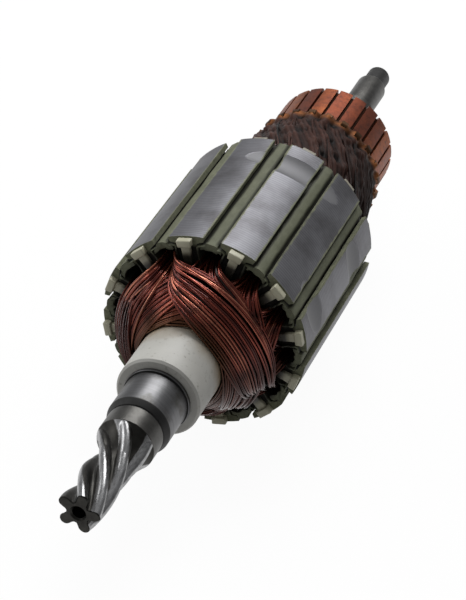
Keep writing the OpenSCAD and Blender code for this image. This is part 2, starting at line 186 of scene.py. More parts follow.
def grid_faces(rows, columns, loop_rows, loop_columns):
    """Quads between neighbours of a grid numbered row by row. A looped side joins its last to its first."""
    i, j = np.meshgrid(np.arange(rows if loop_rows else rows - 1),
                       np.arange(columns if loop_columns else columns - 1), indexing="ij")
    i2, j2 = (i + 1) % rows, (j + 1) % columns
    quads = np.stack([i * columns + j, i * columns + j2, i2 * columns + j2, i2 * columns + j], -1)
    return quads.reshape(-1, 4)


def end_caps(rows, columns):
    """The two faces that close a grid of rings: the first ring the other way round, and the last."""
    return [range(columns - 1, -1, -1), range((rows - 1) * columns, rows * columns)]


def copies(faces, count, size):
    """The same faces for each of count bodies that have size points each."""
    faces = np.array(faces)
    return (faces + np.arange(count)[:, None, None] * size).reshape(-1, faces.shape[1])

# %% Put a mesh in the scene


def make_piece(name, points, quads, finish, caps=(), sharp=35, replaces=()):
    """Puts millimetre points, quads and closing faces (caps) in a mesh, turns the faces outwards and
    lets the piece ride on the part."""
    points = np.asarray(points, float).reshape(-1, 3) * MM
    mesh = bpy.data.meshes.new(name)
    mesh.from_pydata(points, [], [list(map(int, q)) for q in quads] + [list(map(int, c)) for c in caps])
    mesh.validate()
    # With its faces outwards, a closed mesh has a positive sum of a . (b x c) over its triangles
    mesh.calc_loop_triangles()
    corners = np.zeros(len(mesh.loop_triangles) * 3, np.int32)
    mesh.loop_triangles.foreach_get("vertices", corners)
    a, b, c = points[corners.reshape(-1, 3)].transpose(1, 0, 2)
    if (a * np.cross(b, c)).sum() < 0:
        mesh.flip_normals()
    mesh.polygons.foreach_set("use_smooth", np.ones(len(mesh.polygons), bool))
    if sharp:
        mesh.set_sharp_from_angle(angle=math.radians(sharp))
    for material in finish if isinstance(finish, list) else [finish]:
        mesh.materials.append(material)
    piece = bpy.data.objects.new(name, mesh)
    bpy.context.scene.collection.objects.link(piece)
    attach(piece, "root")
    if replaces:
        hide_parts(*replaces)
    print(name, len(mesh.vertices), "points", sum(len(p.vertices) - 2 for p in mesh.polygons), "triangles")
    return piece


def store(piece, name, values):
    """Keeps a number for each point of a piece, which its finish reads as an attribute."""
    attribute = piece.data.attributes.new(name, "FLOAT", "POINT")
    attribute.data.foreach_set("value", np.ravel(values).astype(np.float32))

# %% Tubes along paths


def tubes(paths, radius, sides, closed):
    """Points of shape (tubes, stations, sides, 3) and quads, from paths of shape (tubes, stations, 3). At
    each station a ring lies square to the path, started from the direction away from the shaft."""
    count, stations = paths.shape[:2]
    ahead = np.roll(paths, -1, 1) - np.roll(paths, 1, 1) if closed else np.gradient(paths, axis=1)
    ahead /= np.linalg.norm(ahead, axis=-1, keepdims=True)
    outward = paths * [0, 1, 1]
    across = outward - (outward * ahead).sum(-1, keepdims=True) * ahead
    across /= np.linalg.norm(across, axis=-1, keepdims=True)
    third = np.cross(ahead, across)
    turn = np.arange(sides) * 2 * np.pi / sides
    ring = across[:, :, None] * np.cos(turn)[:, None] + third[:, :, None] * np.sin(turn)[:, None]
    quads = copies(grid_faces(stations, sides, closed, True), count, stations * sides)
    return paths[:, :, None] + radius * ring, quads

# %% [markdown]
# ## Enamelled copper wire
# Winding wire is bright copper under a thin red-brown enamel. The enamel gives it a dark, glossy
# look with pinkish copper highlights. Each wire has a slightly different depth of colour, kept in
# the mesh as a tint. Near the collar and at the commutator end the coils are soaked in brown
# varnish, which is darker and duller.

# %% Finish of the wire


def enamelled_wire():
    material, node, place = start_finish("enamelled_copper_wire")
    tint = node("Attribute", attribute_name="wire_tint", out="Fac")
    colour = node("ValToRGB", tint, stops=[
        (0.0, "#1a0a09"), (0.3, "#5a221a"), (0.75, "#964534"), (1.0, "#c27c62")])
    blotch = node("TexNoise", Vector=place, Scale=260, Detail=3)
    stain = node("MapRange", blotch, 0.5, 0.8)
    stained = node("Mix", stain, colour, "#2c110c")
    # Brown-gold varnish soaks the wires that lie against the collar
    x, r, a = round_the_shaft(node, place)
    soaked = node("MapRange", r, 0.0135, 0.0105)
    gold = node("Mix", soaked, stained, "#5e3c20")
    # Painted shade: below 14 mm above the shaft's axis the wires darken towards their lower side, away from
    # the lamps, and lose most of their coat
    height = node("SeparateXYZ", place, out="Z")
    low = node("MapRange", height, 0.014, 0.0, 0, 0.85)
    painted_shade_below = node("Mix", low, gold, "#24110e")
    # The commutator end, behind the middle of the core, is soaked right through
    rear = node("MapRange", x, 0.060, 0.070)
    varnished = node("Mix", rear, painted_shade_below, "#30211d")
    rough = node("MapRange", blotch, 0, 1, 0.16, 0.32)
    gloss = node("MapRange", low, 0, 1, 0.35, 0.0)
    set_shader(material, Base_Color=varnished, Metallic=0.85, Roughness=rough,
               Coat_Weight=gloss, Coat_Roughness=0.1, Coat_IOR=1.5)
    return material


wire_finish = enamelled_wire()

# %% [markdown]
# ## The twelve coils
# Each coil spans five slots. Its wires leave a slot, run nearly straight to the circle on which they
# pass the collar, and run on to the other slot. Seen along the shaft such a path bends most at its
# middle, and r = r_m / cos(k a) follows it well. Along the shaft the wires lie on the domed heap of
# the coils wound before them, and they dive into the slot over a short distance. A wire is cheap as
# a six-sided tube, so every loop that could be seen is modelled.

# %% Shape of the heap of end turns
# The coils lie between the collar and the wedges
turns_r, copper_r, base_height = 10.05, 20.5, 1.3
# Height of each end's heap at its edge and at the collar
heaps = {"pinion": (4.6, 16.4), "commutator": (6.4, 23.0)}
# Distance over which a wire dives into its slot
dives = {"pinion": 0.9, "commutator": 2.2}
# Angles of the first coil's middle, and from a coil's middle to its two slots
first_coil, half_span = -45, 75
layers = 6
wire_r = 0.27


def heap_height(r, end, layer):
    """Height of a layer's top above the core's face at radius r. The heap falls from its height at the
    collar to its height at the edge along 1 - t ** 1.4. A lower layer, counted down from the last one
    wound, takes its share of it at the rim and nearly all of it at the collar, where few coils
    cross."""
    edge, inner = heaps[end]
    t = np.clip((r - turns_r) / (copper_r - turns_r), 0, 1.05)
    top = edge + (inner - edge) * (1 - t ** 1.4)
    return base_height + (top - base_height) * (1 - layer / layers * (0.08 + 0.92 * t ** 0.8))


def end_path(end, layer, slot_r, slot_t, pass_r, depth, steps=40):
    """One end of each wire loop, as heights, radii and angles of shape (wires, steps) from one slot to
    the other. slot_r and slot_t, shaped (wires, 2), are the radius and the offset from the slot's
    middle at both slots. At angle a from the coil's middle the radius is r_m / cos(k a), with k set so
    that it reaches slot_r at the slot. The height is the heap's less depth, times 1 - exp(-distance
    left / dive)."""
    u = np.linspace(-1, 1, steps)
    side = (u > 0).astype(int)
    r0, t0 = slot_r[:, side], slot_t[:, side]
    r_m = pass_r[:, None]
    start = np.radians(half_span) - t0 / r0
    angle = start * np.abs(0.55 * u + 0.45 * np.sin(u * np.pi / 2))
    r = r_m / np.cos(angle / start * np.arccos(np.minimum(r_m / r0, 1)))
    left = np.hypot(r * (start - angle), r0 - r)
    height = (heap_height(r, end, layer) - depth) * (1 - np.exp(-left / dives[end]))
    return height, r, np.sign(u) * angle


def pass_span(end, k):
    """Smallest and largest radius on which coil k's wires pass the collar. Of the coils wound by one
    arm of the winding machine, the later ones reach further out, and the second arm's, from 6 up, lie
    further out than the first's on the pinion end."""
    layer, nearest = k % layers, turns_r + 0.35
    if end == "commutator":
        return nearest, 17.6 - 0.5 * layer
    if k >= layers:
        return nearest + 1.5 * (k == 7), 19.6 - 0.4 * layer - 3.0 * (layer > 1)
    return nearest, 18.1 - 0.7 * layer

# %% Path of a coil's wires


def slot_seats(k, across):
    """Radius and offset from the slot's middle at the coil's first and last slot, for a wire at place
    across (0 at the collar, 1 at the rim). Coils 0 and 6 lie bunched to one side of their last slot and
    coil 7 of its first, and the coils after 7 climb least towards the rim."""
    t_low, t_high = [-1.9, -1.9], [2.2, 2.2]
    if k % layers == 0:
        t_low = [-1.6, 0.9]
    elif k == 7:
        t_low = [-0.7, -1.9]
    climb = 1.0 if k > 7 else 2.9 - 0.6 * (k > 0)
    return 18.4 + climb * across ** 1.7, np.array(t_low) + (np.array(t_high) - t_low) * across


def join_ends(k, front, rear):
    """Closed paths of coil k, the pinion end out and the commutator end back, from each end's height
    above the core's face, radius and angle from the coil's middle."""
    middle = np.radians(first_coil - slot_step * k)
    out = lay_round(core_x0 - front[0], front[1], middle + front[2])
    back = lay_round(core_x1 + rear[0], rear[1], middle + rear[2])
    return np.concatenate([out, back[:, ::-1]], 1)


def wind_coil(k, top=17, sunken=10, edge=4):
    """All loops of coil k as closed paths. Of the wires, top lie on the heap, sunken in the gaps below
    them and edge down its outer side."""
    layer = k % layers
    wires = top + sunken + edge
    across = np.concatenate([np.linspace(0, 1, top), np.linspace(0.04, 0.96, sunken), np.ones(edge)])
    sunk = np.concatenate([np.zeros(top), np.full(sunken, 0.4), np.arange(1, edge + 1) * 0.5])
    # In the slot the wires lie stacked, so neighbours on the heap come from different depths
    stack = np.concatenate([np.arange(top) * 2 % 5, np.full(wires - top, 3)]) * 0.3
    ends = []
    for end in ("pinion", "commutator"):
        inner_r, outer_r = pass_span(end, k)
        pass_r = inner_r + (outer_r - inner_r) * across + rng.normal(0, 0.07, wires)
        pass_r = np.clip(pass_r, inner_r, outer_r)
        shuffled = np.clip(across[:, None] + rng.normal(0, 0.06, (wires, 2)), 0, 1)
        slot_r, slot_t = slot_seats(k, shuffled)
        slot_r = np.maximum(slot_r - stack[:, None], pass_r[:, None] + 0.25)
        depth = wire_r + sunk + np.abs(rng.normal(0, 0.08, wires))
        ends.append(end_path(end, layer, slot_r, slot_t, pass_r, depth[:, None]))
    return join_ends(k, *ends)


def coil_body(k):
    """The closed pack of wires under the visible ones, with a ring of eight points across the coil."""
    layer = k % layers
    across = np.array([0, 0.33, 0.67, 1, 1, 0.67, 0.33, 0])
    low = np.array([0, 0, 0, 0, 1, 1, 1, 1])
    ends = []
    for end in ("pinion", "commutator"):
        inner_r, outer_r = pass_span(end, k)
        pass_r = inner_r + 0.1 + (outer_r - inner_r - 0.4) * across
        seat_r, seat_t = slot_seats(k, across[:, None] * np.ones(2))
        slot_r = np.maximum(seat_r - 1.3 - 1.2 * low[:, None], pass_r[:, None] + 0.2)
        thick = 0.6 + 0.6 * low * (1 + 1.6 * (1 - across))
        ends.append(end_path(end, layer, slot_r, seat_t * 0.92, pass_r, thick[:, None] + wire_r))
    return join_ends(k, *ends)

# %% Wind the coils
wire_sides = 6
for k in range(2 * layers):
    loops = wind_coil(k)
    rings, quads = tubes(loops, wire_r, wire_sides, True)
    body = coil_body(k)
    wire_points, stations = rings.size // 3, loops.shape[1]
    points = np.concatenate([rings.reshape(-1, 3), body.transpose(1, 0, 2).reshape(-1, 3)])
    body_quads = grid_faces(stations, len(body), True, True) + wire_points
    tints = np.clip(rng.normal(0.5, 0.22, len(loops)), 0, 1)
    coil = make_piece(f"coil_{k + 1:02d}_wires", points, np.concatenate([quads, body_quads]), wire_finish,
                      sharp=0, replaces=(f"coil_{k + 1:02d}",))
    tint = np.concatenate([np.repeat(tints, stations * wire_sides), np.zeros(len(body) * stations)])
    store(coil, "wire_tint", tint)

# %% [markdown]
# ## Steel of the shaft
# The shaft is one bar of case-hardened steel. Its seats are ground, which leaves fine rings round it
# and a soft sheen. The step between the seats and the far end keep their black oxide. The pinion is
# hobbed and then hardened, so it is darker, with bright flanks where its mate has run.

# %% Finishes of the shaft


def ground_steel():
    material, node, place = start_finish("ground_steel")
    # Grinding rings 0.2 mm apart: the pattern is squeezed along the shaft
    rings = node("Mapping", Vector=place, Scale=(5000, 90, 90))
    ring = node("TexNoise", Vector=rings, Scale=1, Detail=4)
    smear = node("TexNoise", Vector=place, Scale=190, Detail=4, Roughness=0.6)
    tone = node("Mix", ring, "#555554", "#767679")
    dull = node("MapRange", smear, 0.48, 0.72)
    toned = node("Mix", dull, tone, "#4c4a46")
    rough = node("MapRange", smear, 0, 1, 0.32, 0.54)
    return coat(material, toned, ring, 0.25, 0.04, Metallic=1.0, Roughness=rough)


def black_oxide():
    material, node, place = start_finish("black_oxide")
    patch = node("TexNoise", Vector=place, Scale=420, Detail=5)
    tone = node("Mix", patch, "#080808", "#181716")
    rough = node("MapRange", patch, 0, 1, 0.42, 0.68)
    return coat(material, tone, patch, 0.2, 0.06, Metallic=0.3, Roughness=rough)


def hobbed_steel():
    material, node, place = start_finish("hobbed_steel")
    wear_and_highlight = node("Attribute", attribute_name="wear_and_highlight", out="Fac")
    patch = node("TexNoise", Vector=place, Scale=520, Detail=5, Roughness=0.6)
    streaks = node("Mapping", Vector=place, Scale=(300, 1900, 1900))
    streak = node("TexNoise", Vector=streaks, Scale=1, Detail=3)
    turned = node("Mix", patch, "#353433", "#5f5e5b")
    cut = node("Mix", patch, "#1d1c1b", "#42413e")
    # The teeth in front of the turned neck were left darker by hardening
    station = node("SeparateXYZ", place)
    neck = node("MapRange", station, (neck_x0 - 0.02) * MM, (neck_x0 + 0.02) * MM)
    dark = node("Mix", neck, cut, turned)
    spread = node("Math", streak, 0.9, wear_and_highlight, operation="MULTIPLY_ADD")
    shine = node("MapRange", spread, 0.95, 1.55)
    tone = node("Mix", shine, dark, "#a0a0a1")
    rough = node("MapRange", shine, 0, 1, 0.42, 0.27)
    return coat(material, tone, streak, 0.3, 0.04, Metallic=1.0, Roughness=rough)


neck_x0, neck_x1, seat_x0, seat_x1 = -12.5, -6.7, -5.1, 5.1
ground_finish, oxide_finish, hobbed_finish = ground_steel(), black_oxide(), hobbed_steel()

# %% [markdown]
# ## The turned shaft
# A turned part is one profile carried round its axis. Real corners are broken by a small chamfer,
# which is what catches the light, so each corner of the profile is cut before it is turned. The
# steps from ground steel to black oxide are faces of the same mesh with another material.

# %% Turn the shaft
# The far end has a seat 13 mm long, a short cone and a thin tip
tip_x0 = shaft_x1 - 6.0
rear_seat_x1 = tip_x0 - 1.6
rear_seat_x0 = rear_seat_x1 - 13.0
relief = 0.4
chamfer = 0.12


def broken_corners(profile, cut):
    """Replaces each inner corner of a [station, radius] profile by two points at distance cut from it."""
    p = np.asarray(profile, float)
    back, ahead = p[:-2] - p[1:-1], p[2:] - p[1:-1]
    lb, la = np.linalg.norm(back, axis=1), np.linalg.norm(ahead, axis=1)
    step = np.minimum(cut, 0.4 * np.minimum(lb, la))[:, None]
    first, second = p[1:-1] + back / lb[:, None] * step, p[1:-1] + ahead / la[:, None] * step
    return np.concatenate([p[:1], np.stack([first, second], 1).reshape(-1, 2), p[-1:]])


def turn_profile(profile, around=144):
    """A profile of [station, radius] points carried round the shaft: every point becomes a ring."""
    angle = np.arange(around) * 2 * np.pi / around
    return lay_round(profile[:, :1], profile[:, 1:], angle[None])


# The neck, the black step and the drive-end seat, each with a relief groove for the grinding wheel
front_profile = [
    (neck_x0, 6.4), (neck_x0, 6.7), (neck_x1 - relief, 6.7), (neck_x1 - relief, 6.5), (neck_x1, 6.5),
    (neck_x1, 6.7), (seat_x0, 7.5), (seat_x1 - relief, 7.5), (seat_x1 - relief, 7.3), (seat_x1, 7.3)]
# The stop ring, the hidden middle, and the far end with its seat
rear_profile = [
    (seat_x1, 7.9), (seat_x1 + 0.9, 7.9), (seat_x1 + 0.9, 6.6), (sleeve_x1, 6.6), (sleeve_x1, 6.0),
    (bars_x1, 6.0), (bars_x1, 5.0), (rear_seat_x0 - relief, 5.0), (rear_seat_x0 - relief, 3.8),
    (rear_seat_x0, 3.8), (rear_seat_x0, 4.0), (rear_seat_x1, 4.0), (tip_x0, 3.05), (shaft_x1 - 0.6, 3.05),
    (shaft_x1, 2.45)]
rings = turn_profile(broken_corners(front_profile + rear_profile, chamfer))
rows, columns = rings.shape[:2]
turned = make_piece("shaft_turned", rings, grid_faces(rows, columns, False, True),
                    [ground_finish, oxide_finish, hobbed_finish], sharp=25,
                    caps=end_caps(rows, columns), replaces=("shaft",))
middles = np.zeros(len(turned.data.polygons) * 3)
turned.data.polygons.foreach_get("center", middles)
station = middles.reshape(-1, 3)[:, 0] / MM
# Black oxide is left on the step, in the groove behind the seat and beyond the far seat
step_x0, groove_x0 = neck_x1 - relief - 0.02, seat_x1 - relief - 0.05
black = ((station > step_x0) & (station < seat_x0 + 0.05)) | (station > rear_seat_x1) \
    | ((station > groove_x0) & (station < seat_x1 + 0.02))
zone = np.where((station < step_x0) | ((station > bars_x1) & ~black), 2, black.astype(int))
turned.data.polygons.foreach_set("material_index", zone.astype(np.int32))

# %% [markdown]
# ## The helical pinion
# Five teeth are cut along a left-hand helix in a blank that widens towards the seat. At every
# station the section is the same ring of radii, turned once in a lead of 56.7 mm and grown with the
# blank, and no point lies below the floor that the cutter leaves where it runs out.

# %% Cut the pinion
teeth, root_r, tip_r, half_tooth = 5, 2.7, 5.0, 1.25
# The blank widens over the taper, the cutter lifts over the run-out, and the helix turns once per lead
blank_end_r, taper, run_out, lead, first_tooth = 6.65, 7, 9.8, 56.7, 59
flank_r = math.hypot(half_tooth, tip_r - half_tooth)
flank_a = math.atan2(half_tooth, tip_r - half_tooth)


def tooth_section(per_side=22):
    """Radius and angle over one tooth pitch: a round tip, then root + drop (1 - s) ** 3 down the fillet."""
    t = np.linspace(0, np.pi / 2, 8)
    u, v = half_tooth * np.sin(t), tip_r - half_tooth + half_tooth * np.cos(t)
    s = np.linspace(0, 1, per_side - 7)[1:]
    r = np.concatenate([np.hypot(u, v), root_r + (flank_r - root_r) * (1 - s) ** 3])
    a = np.concatenate([np.arctan2(u, v), flank_a + s * (np.pi / teeth - flank_a)])
    return np.concatenate([r[:0:-1], r[:-1]]), np.concatenate([-a[:0:-1], a[:-1]])


section_r, section_a = tooth_section()
pinion_x = np.linspace(shaft_x0, neck_x0, 150)[:, None]
blank = tip_r + (blank_end_r - tip_r) * np.maximum(pinion_x - neck_x0 + taper, 0) / taper
# The cutter's floor is an arc that starts level and has risen by rise at the end of the run-out
rise = blank_end_r - root_r
arc_r = (run_out ** 2 + rise ** 2) / (2 * rise)
into = np.maximum(pinion_x - neck_x0 + run_out, 0)
floor_of_cut = root_r + arc_r - np.sqrt(arc_r ** 2 - into ** 2)
helix = np.radians(first_tooth) + (pinion_x - shaft_x0) * 2 * np.pi / lead
tooth_r = np.tile(section_r, teeth)[None]
tooth_a = np.tile(section_a, teeth)[None] + np.repeat(np.arange(teeth), len(section_r)) * 2 * np.pi / teeth
pinion_r = np.maximum(tooth_r * blank / tip_r, floor_of_cut)
shell = lay_round(pinion_x, pinion_r, tooth_a + helix)
# The teeth's end is chamfered, and the centre hole goes in as a cone and a bore
angles = (tooth_a + helix[0])[0]
bore_r, chamfer = 1.5, 0.3
front = [lay_round(shaft_x0 + depth, r, angles) for depth, r in (
    (4.9, 0.15), (4.0, bore_r), (0.45, bore_r), (0, bore_r + 0.4), (0, pinion_r[0] - chamfer))]
shell[0] = lay_round(shaft_x0 + chamfer, pinion_r[0], angles)
back = lay_round(neck_x0 + 0.5, pinion_r[-1] * 0.9, (tooth_a + helix[-1])[0])
pinion_rings = np.concatenate([front, shell, back[None]])
rows, columns = pinion_rings.shape[:2]
pinion = make_piece("pinion_teeth", pinion_rings, grid_faces(rows, columns, False, True), hobbed_finish,
                    sharp=40, caps=end_caps(rows, columns))
# The mate polishes the tip and one side of each tooth. flank is the angle in units of the tip's own.
flank = np.clip(np.tile(section_a, teeth) / flank_a, -1.6, 1.6)
wear_and_highlight = np.tile(np.clip(np.minimum((flank + 0.5) / 0.4, (1.45 - flank) / 0.3), 0.15, 1), (rows, 1))
wear_and_highlight[:len(front) + 1] = 0.1
store(pinion, "wear_and_highlight", wear_and_highlight)

# %% [markdown]
# ## The insulating sleeve
# The collar is moulded in ivory polyamide. It is matt, slightly yellowed, and stained brown by the
# winding varnish where the coils touch it. The CAD shape is right, so it keeps its own mesh.

# %% Finish of the sleeve


def ivory_polyamide():
    material, node, place = start_finish("ivory_polyamide")
    cloud = node("TexNoise", Vector=place, Scale=140, Detail=4)
    grain = node("TexNoise", Vector=place, Scale=2600, Detail=2)
    tone = node("Mix", cloud, "#c3c2bc", "#aaa8a2")
    speck = node("TexNoise", Vector=place, Scale=850, Detail=4, Roughness=0.7)
    speck = node("MapRange", speck, 0.58, 0.72, 0, 0.6)
    tone = node("Mix", speck, tone, "#6f6b60")
    near = node("MapRange", node("SeparateXYZ", place), 0.0120, 0.0205)
    ragged = node("Math", near, cloud, operation="MULTIPLY")
    soak = node("MapRange", ragged, 0.12, 0.6)
    stained = node("Mix", soak, tone, "#8a7048")
    rough = node("MapRange", cloud, 0, 1, 0.45, 0.65)
    return coat(material, stained, grain, 0.15, 0.05, Roughness=rough, IOR=1.53)


def dress(node, finish):
    """Gives a CAD node a finish in its own material slots."""
    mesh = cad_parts[node].data
    mesh.materials.clear()
    mesh.materials.append(finish)


dress("shaft_sleeve", ivory_polyamide())

# %% [markdown]
# ## The laminated core
# About a hundred sheets of electrical steel are pressed together, and the outside is then ground.
# The sheets' edges show as fine lines round the core, drawn 0.8 mm apart so that they can be seen,
# though a sheet is 0.5 mm thick. Milled balance cuts are brighter and smoother. The walls of the
# slot mouths are dark, partly with varnish and partly as painted shade.

# %% Finish of the core


def from_slot(node, a):
    """Socket for the angle between a point at angle a and the middle of the nearest slot."""
    turn = node("Math", a, half_step, -half_step, operation="WRAP")
    return node("Math", turn, operation="ABSOLUTE")


def laminations():
    material, node, place = start_finish("core_laminations")
    x, r, a = round_the_shaft(node, place)
    sheets = node("Mapping", Vector=place, Scale=(1500, 110, 110))
    sheet = node("TexNoise", Vector=sheets, Scale=1, Detail=5, Roughness=0.65)
    # A groove every 0.8 mm
    line = node("Math", x, 0.0008, 0.0, operation="WRAP")
    groove = node("MapRange", line, 0.0001, 0.0003)
    cloud = node("TexNoise", Vector=place, Scale=75, Detail=5, Roughness=0.6)
    tone = node("Mix", sheet, "#66666a", "#848488")
    lined = node("Mix", groove, "#646468", tone)
    patch = node("MapRange", cloud, 0.45, 0.75)
    patched = node("Mix", patch, lined, "#4c4a4c")
    # Milled floors of the balance cuts lie below the ground surface
    milled = node("MapRange", r, 0.02496, 0.02488)
    cut = node("Mix", milled, patched, "#757577")
    offset = from_slot(node, a)
    # Painted shade, partly varnish: the walls of the slot mouths are darkened to olive grey
    wall_varnish_and_shade = node("MapRange", offset, 0.0890, 0.0850)
    walls_varnished_and_shaded = node("Mix", wall_varnish_and_shade, cut, "#403f34")
    # Fibre and varnish cover both end faces of the core and creep over the teeth's long edges
    ends = node("Math", x, (core_x0 + core_x1) / 2 * MM, operation="SUBTRACT")
    ends = node("Math", ends, operation="ABSOLUTE")
    ends = node("MapRange", ends, 0.02368, 0.02373)
    fine = node("TexNoise", Vector=place, Scale=650, Detail=6, Roughness=0.7)
    creep = node("MapRange", offset, 0.118, 0.086)
    creep = node("Math", creep, fine, operation="MULTIPLY")
    creep = node("MapRange", creep, 0.2, 0.42)
    cover = node("Math", ends, creep, operation="MAXIMUM")
    paste = node("Mix", fine, "#3e4030", "#96987e")
    # Partly varnish and partly painted shade: below r = 23.2 mm the paste darkens to near black
    inner = node("MapRange", r, 0.0232, 0.0222)
    paste = node("Mix", inner, paste, "#14120d")
    covered = node("Mix", cover, walls_varnished_and_shaded, paste)
    metal = node("Math", 1.0, cover, operation="SUBTRACT")
    rough = node("MapRange", sheet, 0, 1, 0.42, 0.58)
    rougher = node("Math", milled, 0.62, operation="MULTIPLY")
    rougher = node("Math", rougher, cover, operation="MAXIMUM")
    rougher = node("Math", rougher, rough, operation="MAXIMUM")
    return coat(material, covered, sheet, 0.2, 0.05, Metallic=metal, Roughness=rougher)


dress("lamination_stack", laminations())

# %% [markdown]
# ## Slot wedges and liners
# Each slot is lined with a folded sheet of fibre and closed by a grey-green fibre wedge that was
# pushed in from the end. Soaked with varnish, both end in a ragged edge just outside the core. A
# wedge is a profile carried along the slot, with a little noise on its faces and more at its ends.

# %% Finish of the fibre


def varnished_fibre():
    material, node, place = start_finish("varnished_fibre")
    x, r, a = round_the_shaft(node, place)
    cloud = node("TexNoise", Vector=place, Scale=320, Detail=5, Roughness=0.65)
    fibres = node("Mapping", Vector=place, Scale=(500, 3500, 3500))
    fibre = node("TexNoise", Vector=fibres, Scale=1, Detail=3)
    tone = node("Mix", cloud, "#35382b", "#8e9078")
    streaked = node("Mix", fibre, tone, "#5f624e")
    # Painted shade: the rib's long edges are darkened in place of the shadow in the gaps beside it, 1 mm
    # being 0.042 radians here
    offset = node("Math", cloud, 0.03, from_slot(node, a), operation="MULTIPLY_ADD")
    rib_edge_shade = node("MapRange", offset, 0.047, 0.068)
    outside = node("MapRange", x, 0.0338, 0.0352)
    rib_edge_shade = node("Math", rib_edge_shade, outside, operation="MULTIPLY")
    streaked = node("Mix", rib_edge_shade, streaked, "#2c2d20")
    # Painted shadow: the narrow gaps beside the wedge's rib are painted near black
    deep = node("MapRange", r, 0.0236, 0.0232)
    inside = node("MapRange", x, 0.0343, 0.0350)
    painted_slot_shade = node("Math", deep, inside, operation="MULTIPLY")
    # Below the wedges the liners are near black, partly varnish and partly painted shade in the slot's
    # hollow
    soaked = node("MapRange", r, 0.0227, 0.0217)
    painted_slot_shade = node("Math", painted_slot_shade, soaked, operation="MAXIMUM")
    dark = node("Mix", painted_slot_shade, streaked, "#26261c")
    return coat(material, dark, cloud, 0.5, 0.15, Roughness=0.72, Specular_IOR_Level=0.35)


fibre_finish = varnished_fibre()

# %% Wedges in the slot mouths


def smooth_noise(shape, steps, spread):
    """Noise that is random on a coarse grid and blended in between, of shape (rows, columns)."""
    coarse = rng.normal(0, spread, (steps[0] + 1, steps[1] + 1))
    rows, columns = np.linspace(0, steps[0], shape[0]), np.linspace(0, steps[1], shape[1])
    across = np.stack([np.interp(columns, np.arange(steps[1] + 1), row) for row in coarse])
    return np.stack([np.interp(rows, np.arange(steps[0] + 1), column) for column in across.T], -1)


def fill_slots(name, stations, section, caps, node):
    """A piece with one closed body in every slot, a row of points for each station along the core.
    section gives the body's shift along the shaft, its radius and its angle from the slot's middle,
    from how far each row is outside the core and which way is inwards."""
    outside = (np.clip(-stations, 0, 1) + np.clip(stations - core_length, 0, 1))[:, None]
    inwards = np.sign(core_length / 2 - stations)[:, None]
    bodies = []
    for i in range(slots):
        shift, r, angle = section(outside, inwards)
        bodies.append(lay_round(core_x0 + stations[:, None] + shift, r, np.radians(slot_step * i) + angle))
    rows, columns = bodies[0].shape[:2]
    quads = copies(grid_faces(rows, columns, False, True), slots, rows * columns)
    ends = copies(caps(rows, columns), slots, rows * columns)
    make_piece(name, bodies, quads, fibre_finish, caps=ends, sharp=50, replaces=(node,))


# Offset and radius round a wedge: an arch over the copper, the slot's roof and the rib in the mouth
half_width = 2.5
arch_t = np.linspace(-half_width, half_width, 15)
roof = [(2.55, 22.5), (2.35, 22.9), (1.9, 23.15), (1.45, 23.35), (1.4, 23.8), (1.15, 23.97), (0.6, 24.05),
        (0, 24.08), (-0.6, 24.05), (-1.15, 23.97), (-1.5, 23.8), (-1.55, 23.3), (-1.8, 23.1), (-2.35, 22.9),
        (-2.55, 22.5)]
outline = np.concatenate([np.stack([arch_t, 22.35 - 0.45 * (arch_t / half_width) ** 2], -1), roof])


def wedge_section(outside, inwards):
    """A wedge's rows, with noisy faces and ragged ends that stay below the core's rim."""
    shape = (len(outside), len(outline))
    t = outline[:, 0] + smooth_noise(shape, (14, 8), 0.05)
    r = outline[:, 1] + smooth_noise(shape, (14, 10), 0.07)
    ragged = smooth_noise(shape, (2, 15), 0.22)
    r = r + outside * ragged * np.where(outline[:, 1] < 22.4, 1.3, 0.3)
    return 1.6 * outside * np.abs(ragged) * inwards, np.minimum(r, 24.6), np.arctan2(t, r)


wedge_stations = np.concatenate([[-0.7, -0.5, -0.3, -0.1], np.linspace(0.6, 46.9, 30),
                                 [47.6, 47.8, 48.0, 48.2]])
fill_slots("wedges_fibre", wedge_stations, wedge_section, end_caps, "slot_wedges")

# %% Liners in the slots
wall_steps = 44


def slot_wall(inset):
    """Offset and radius along a slot's wall from one lip down, across the bottom and up to the other
    lip. The wall lies 2.5 mm plus inset from the middle of the next tooth."""
    def half(r):
        return r * np.sin(half_step - np.arcsin((2.5 + inset) / r))
    bottom, top, lip = 14.5 + inset, 23.1 - inset * 0.3, 1.6
    corners = np.array([(-lip, top + 0.1), (-half(top), top - 0.4), (-half(bottom), bottom),
                        (half(bottom), bottom), (half(top), top - 0.4), (lip, top + 0.1)])
    lengths = np.concatenate([[0], np.cumsum(np.linalg.norm(np.diff(corners, axis=0), axis=1))])
    at = np.linspace(0, lengths[-1], wall_steps)
    return np.stack([np.interp(at, lengths, corners[:, 0]), np.interp(at, lengths, corners[:, 1])], -1)


sheet = np.concatenate([slot_wall(0.06), slot_wall(0.40)[::-1]])


def liner_section(outside, inwards):
    """A liner's rows, with a ragged and slightly curled edge."""
    knots = np.arange(0, wall_steps, 1.5)
    edge = np.interp(np.arange(wall_steps), knots, rng.normal(0, 0.3, len(knots)))
    edge = np.concatenate([edge, edge[::-1]])
    t, r = sheet[:, 0] + 0.12 * outside * edge, sheet[:, 1] - 0.2 * outside * edge
    return outside * edge * inwards, np.hypot(t, r), np.arctan2(t, r)


def sheet_caps(rows, columns):
    """Quads between a folded sheet's two sides at its first row, the other way round, and its last."""
    j = np.arange(columns // 2 - 1)
    strip = np.stack([j, j + 1, columns - 2 - j, columns - 1 - j], -1)
    return np.concatenate([strip[:, ::-1], strip + (rows - 1) * columns])


liner_stations = np.concatenate([[-0.7, -0.45, -0.2], np.linspace(0.5, 47, 6), [47.7, 47.95, 48.2]])
fill_slots("liners_fibre", liner_stations, liner_section, sheet_caps, "slot_liners")

# %% [markdown]
# ## End insulators
# A cream moulding covers each end face of the core, with an arm and a head on every tooth. The
# heads keep the wires in place. Each arm and head is a block whose edges are rounded by a Bevel.

# %% Finish of the moulding


